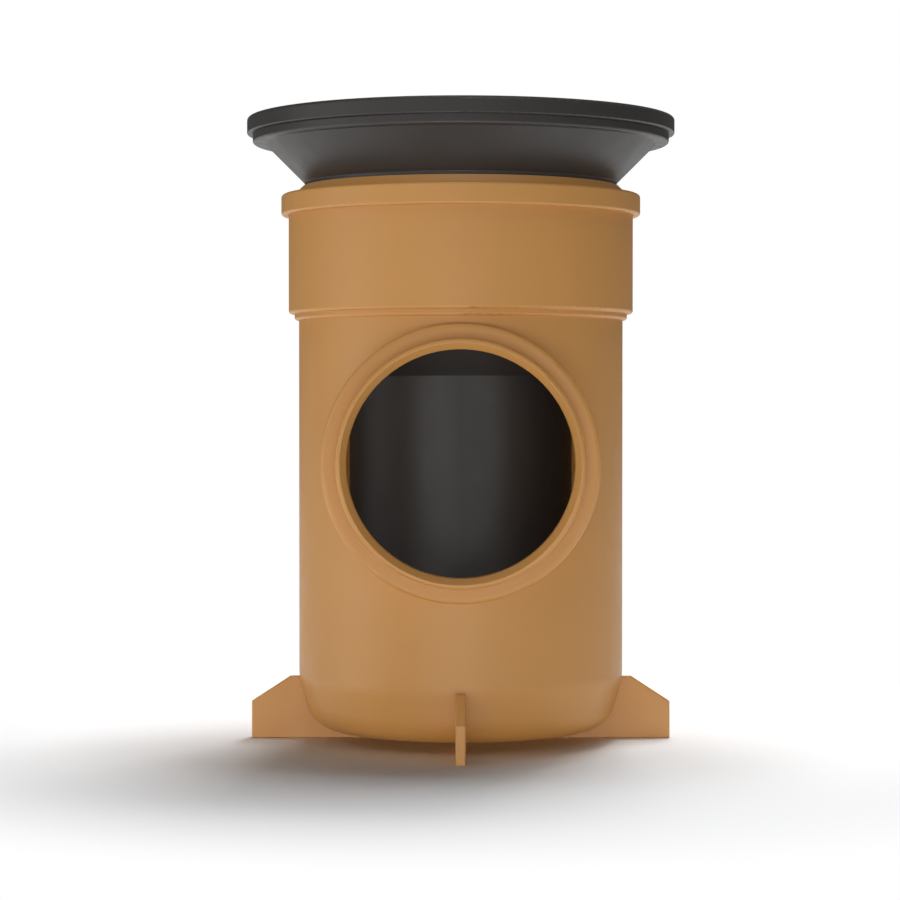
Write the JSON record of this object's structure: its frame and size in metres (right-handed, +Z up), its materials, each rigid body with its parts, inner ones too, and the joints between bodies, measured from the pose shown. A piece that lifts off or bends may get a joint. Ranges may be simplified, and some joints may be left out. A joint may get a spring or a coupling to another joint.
{
  "type": "bottle gully",
  "caption": "Drainage bottle gully: round pot on fin feet with a flat-faced side outlet, a dip tube trap inside, a black push-in hopper above a capped ring seal, and a slotted grating.",
  "frame": {"origin": "on the barrel's axis, at the bottom of the four fin feet", "axes": "+Z up the barrel's axis to the grating, -Y out of the side outlet, +X to the right seen from the outlet"},
  "size_m": [0.2108, 0.2108, 0.3059],
  "materials": {
    "ochre_pvc": "satin moulded PVC",
    "black_plastic": "satin moulded polypropylene",
    "seal_rubber": "matt seal rubber"
  },
  "bodies": {
    "root": {"gully_pot": "ochre_pvc", "seal_retaining_cap": "ochre_pvc", "socket_ring_seal": "seal_rubber", "trap_seat_gasket": "seal_rubber", "trap_insert": "black_plastic", "hopper": "black_plastic", "grating": "black_plastic"}
  },
  "joints": []
}
